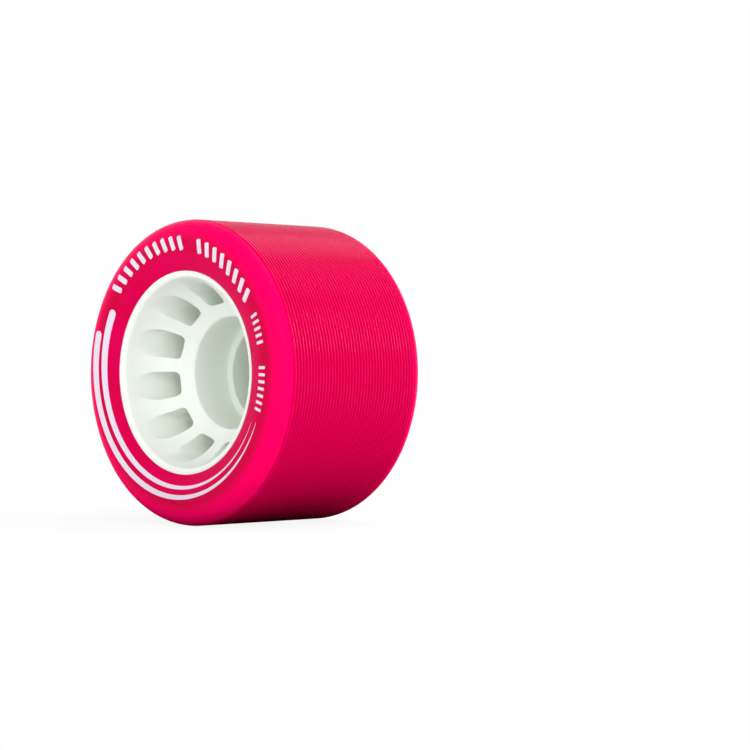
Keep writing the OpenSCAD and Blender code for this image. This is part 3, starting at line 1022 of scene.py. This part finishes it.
def in_seat(profile, side=1):
    """A section drawn about the bearing's middle, put in the rear seat; side -1 mirrors it."""
    return [(r, BEARING_Y + side * z) for r, z in profile]


def lands(bearing):
    """Radii of the inner ring's land, the outer ring's land, the shield's ledge and the clip's groove."""
    reach = bearing.ball / 2 + bearing.race_gap
    inner = bearing.pitch / 2 - reach + bearing.land
    outer = bearing.pitch / 2 + reach - bearing.land
    ledge = outer + bearing.ledge
    return inner, outer, ledge, ledge + bearing.clip_groove


class WHEEL_OT_rings(bpy.types.Operator):
    """Make the bearing's inner and outer rings"""
    bl_idname = "wheel.rings"
    bl_label = "Bearing rings"

    def execute(self, context):
        bearing = context.scene.wheel_bearing
        steel = turned_steel("ground_steel", bearing.steel, lines=0.09, dull=0.16)
        inner_r, outer_r, ledge_r, clip_r = lands(bearing)
        w, b, soft = BEARING_HALF, bearing.bevel, RING_SOFT
        bore_r = bearing.bore / 2
        inner = [(bore_r + b, -w, soft), (inner_r, -w, soft)] + race_arc(bearing, inner_r)[::-1]
        inner += [(inner_r, w, soft), (bore_r + b, w, soft), (bore_r, w - b, soft), (bore_r, b - w, soft)]
        piece("inner_ring", [turned(in_seat(rounded(inner)))], steel, "inner_ring", "bearing_steel",
              "bearing_inner_ring")
        shield_out = w - bearing.shield_depth
        shield_in = shield_out - bearing.shield
        half = [(SEAT_R, w - b, soft), (SEAT_R - b, w, soft), (ledge_r, w, soft),
                (ledge_r, shield_out + bearing.clip, 0), (clip_r, shield_out + bearing.clip, 0),
                (clip_r, shield_out, 0), (ledge_r, shield_out, 0), (ledge_r, shield_in, 0),
                (outer_r, shield_in, 0)]
        outer = half + race_arc(bearing, outer_r) + [(r, -z, radius) for r, z, radius in reversed(half)]
        piece("outer_ring", [turned(in_seat(rounded(outer)))], steel, "wheel", "bearing_steel",
              "bearing_outer_ring")
        return {"FINISHED"}


class WHEEL_OT_shields(bpy.types.Operator):
    """Make the pressed shields and the snap rings that hold them"""
    bl_idname = "wheel.shields"
    bl_label = "Shields and snap rings"

    def execute(self, context):
        bearing = context.scene.wheel_bearing
        sheet = turned_steel("pressed_sheet", bearing.sheet, lines=0.22, dull=0.26)
        spring = turned_steel("spring_steel", bearing.spring, lines=0.12, dull=0.3)
        inner_r, _, ledge_r, clip_r = lands(bearing)
        out = BEARING_HALF - bearing.shield_depth
        low, rise, soft = out - bearing.shield, bearing.bead, SHEET_SOFT
        start = inner_r + bearing.shield_gap
        bead_in, bead_out = start + FLAT_INNER, ledge_r - FLAT_OUTER
        path = [(start, 0), (bead_in, 0), (bead_in + BEND, rise),
                (bead_out - BEND, rise), (bead_out, 0), (ledge_r, 0)]
        upper = [(r, out + z, soft) for r, z in path]
        lower = [(r, low + z, soft) for r, z in reversed(path)]
        shield = rounded(upper + lower)
        clip_in, top = clip_r - bearing.clip_width, out + bearing.clip
        corners = ((clip_in, out), (clip_r, out), (clip_r, top), (clip_in, top))
        clip = rounded([(r, z, soft) for r, z in corners])
        gap = bearing.clip_open / 2
        angles = [gap + (2 * pi - 2 * gap) * k / SIDES for k in range(SIDES + 1)]
        for end, side in (("rear", 1), ("front", -1)):
            piece("shield_plate_" + end, [turned(in_seat(shield, side))], sheet,
                  "wheel", "shields", "shield_" + end)
            piece("snap_ring_" + end, [turned(in_seat(clip, side), angles, ring=False)], spring,
                  "wheel", "clips", "clip_" + end)
        return {"FINISHED"}


class WHEEL_OT_ball_train(bpy.types.Operator):
    """Finish the balls and their cage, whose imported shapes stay"""
    bl_idname = "wheel.ball_train"
    bl_label = "Balls and cage"

    def execute(self, context):
        bearing, nodes = context.scene.wheel_bearing, frame["nodes"]
        ball = polished_ball(bearing)
        finishes = {name: ball for name in nodes if name.startswith("ball_")}
        finishes["ball_cage"] = cage_nylon(bearing)
        for name, material in finishes.items():
            slots = nodes[name].data.materials
            slots.clear()
            slots.append(material)
        return {"FINISHED"}


# Stage

# Soft boxes: name, turn to the right of the printed face and rise in degrees, width and height in
# millimetres, and level; at level 1 a matt surface that faces the box shows the colour it has
LAMPS = (
    ("key_box", 48, 5, 600, 600, 0.2),
    ("top_box", 130, 66, 500, 500, 0.36),
    ("rear_box", 203, 42, 220, 140, 0.05),
    ("strip_box", 133, 24, 110, 290, 0.18),
    ("glint_box", 56, 27, 260, 160, 0.08),
)
LAMP_DISTANCE = 700 * MM

# Heights in a direction between which the light from overhead takes over
SKY_ZONE = (0.0, 0.6)

# Floor: radius, faces round it and gap under the wheel, distances over which the shadow, painted in
# reflections, gives way to white and over which the floor begins to glow on the wheel, and share of the
# matt floor in the shadow
FLOOR_R = 0.9
FLOOR_SIDES = 96
FLOOR_GAP = 0.02 * MM
SHADOW_ZONE = (50 * MM, 150 * MM)
BOUNCE_GLOW_ZONE = (10 * MM, 45 * MM)
SHADOW_SHARE = 0.1


def direction(turn, rise):
    """Unit vector from the wheel at a turn to the right of the printed face and a rise."""
    return Vector((sin(turn) * cos(rise), -cos(turn) * cos(rise), sin(rise)))


def lamp(name, turn, rise, width, height, level):
    """Soft box that looks at the wheel."""
    back = direction(radians(turn), radians(rise))
    light = bpy.data.lights.new(name, "AREA")
    light.shape = "RECTANGLE"
    light.size, light.size_y = width * MM, height * MM
    light.energy = level * (pi * LAMP_DISTANCE) ** 2
    obj = put(name, light)
    obj.location = back * LAMP_DISTANCE
    obj.rotation_mode = "QUATERNION"
    obj.rotation_quaternion = (-back).to_track_quat("-Z", "Y")


def ray_kinds(graph):
    """1 for what the camera sees itself and 0 for other light, and the same for a gloss or glass."""
    path = graph.add("ShaderNodeLightPath").output.node
    camera, gloss, glass = [Socket(graph, path.outputs[name]) for name in
                            ("Is Camera Ray", "Is Glossy Ray", "Is Transmission Ray")]
    return camera, graph.limit(gloss + glass)


def studio_world(stage):
    """White where it is seen, and soft light from all round where it only lights."""
    world = bpy.data.worlds.new("studio")
    g = Graph(world)
    x, y, z = g.parts(g.add("ShaderNodeTexCoord", output="Generated"))
    sky_light = (1 + x * stage.lean) * stage.sky
    ring_light = (1 - g.limit(y) * stage.fall) * stage.ring
    light = ring_light + g.step(z, *SKY_ZONE) * (sky_light - ring_light)
    camera, mirrored = ray_kinds(g)
    seen = g.limit(camera + mirrored)
    strength = seen + (1 - seen) * light
    sky = g.add("ShaderNodeBackground", None, {"Color": WHITE, "Strength": strength})
    g.add("ShaderNodeOutputWorld", None, {"Surface": sky})
    bpy.context.scene.world = world


def floor_finish(stage):
    """Pale matt floor that keeps the shadow near the wheel and is white further out; in reflections and in
    the light that it throws on the wheel it glows, with painted shadow near the wheel.
    """
    g, place = finish("pale_floor")
    x, y = g.parts(place)[:2]
    reach = (x * x + y * y) ** 0.5
    far = g.step(reach, *SHADOW_ZONE)
    open_floor = g.step(reach, *BOUNCE_GLOW_ZONE)
    camera, mirrored = ray_kinds(g)
    matt = g.add("ShaderNodeBsdfDiffuse", None, {"Color": stage.floor})
    # Glow: the camera sees white; reflections see white only away from the wheel and painted shadow near
    # it; other light comes from the floor only away from the wheel, with painted shadow under it.
    glow = camera + mirrored * far + (1 - g.limit(camera + mirrored)) * open_floor * stage.bounce_glow
    white = g.add("ShaderNodeEmission", None, {"Color": g.mix(glow, BLACK, WHITE)})
    share_white = 1 - camera * (1 - far) * SHADOW_SHARE
    return g.output(g.add("ShaderNodeMixShader", None, {0: share_white, 1: matt, 2: white}))


class WHEEL_OT_stage(bpy.types.Operator):
    """Set up the floor, the light and the camera"""
    bl_idname = "wheel.stage"
    bl_label = "Stage"

    def execute(self, context):
        scene = context.scene
        stage = scene.wheel_stage
        scene.view_settings.view_transform = "Standard"
        studio_world(stage)

        work = bmesh.new()
        bmesh.ops.create_circle(work, cap_ends=True, radius=FLOOR_R, segments=FLOOR_SIDES)
        mesh = bpy.data.meshes.new("floor")
        work.to_mesh(mesh)
        work.free()
        mesh.materials.append(floor_finish(stage))
        floor = put("floor", mesh)
        floor.location.z = FLOOR_Z - FLOOR_GAP

        for box in LAMPS:
            lamp(*box)
        self.camera(scene, stage)
        return {"FINISHED"}

    def camera(self, scene, stage):
        """Camera at the photograph's angle, with the wheel to the left of the picture's middle."""
        turn, pan, tilt = stage.azimuth, stage.pan, stage.tilt
        back = direction(turn, stage.rise)
        side = Vector((cos(turn), sin(turn), 0))
        up = side.cross(-back)
        right = cos(pan) * side - sin(pan) * back
        ahead = -sin(pan) * side - cos(pan) * back
        top = cos(tilt) * up + sin(tilt) * ahead
        ahead = cos(tilt) * ahead - sin(tilt) * up
        data = bpy.data.cameras.new("camera")
        data.sensor_width = 36
        data.lens = stage.lens
        data.clip_start, data.clip_end = 0.01, 10
        camera = put("camera", data)
        place = back * stage.distance + Vector((0, stage.offset, 0))
        camera.matrix_world = Matrix.Translation(place) @ Matrix((right, top, -ahead)).transposed().to_4x4()
        scene.camera = camera


class WHEEL_PT_panel(bpy.types.Panel):
    """Lists the steps that dress the wheel"""
    bl_idname = "WHEEL_PT_panel"
    bl_label = "Skate wheel"
    bl_space_type = "VIEW_3D"
    bl_region_type = "UI"
    bl_category = "Skate wheel"

    def draw(self, context):
        for operator in OPERATORS:
            self.layout.operator(operator.bl_idname)


SETTINGS = {
    "wheel_tyre": TyreSettings,
    "wheel_hub": HubSettings,
    "wheel_print": PrintSettings,
    "wheel_bearing": BearingSettings,
    "wheel_stage": StageSettings,
}
OPERATORS = (
    WHEEL_OT_tyre,
    WHEEL_OT_hub,
    WHEEL_OT_print,
    WHEEL_OT_rings,
    WHEEL_OT_shields,
    WHEEL_OT_ball_train,
    WHEEL_OT_stage,
)


def register():
    for kind in (*SETTINGS.values(), *OPERATORS, WHEEL_PT_panel):
        bpy.utils.register_class(kind)
    for name, kind in SETTINGS.items():
        setattr(bpy.types.Scene, name, bpy.props.PointerProperty(type=kind))


def unregister():
    for name in SETTINGS:
        delattr(bpy.types.Scene, name)
    for kind in (WHEEL_PT_panel, *reversed(OPERATORS), *SETTINGS.values()):
        bpy.utils.unregister_class(kind)


def main():
    register()
    bpy.ops.wheel.tyre()
    bpy.ops.wheel.hub()
    bpy.ops.wheel.print()
    bpy.ops.wheel.rings()
    bpy.ops.wheel.shields()
    bpy.ops.wheel.ball_train()
    bpy.ops.wheel.stage()


if __name__ == "__main__":
    main()
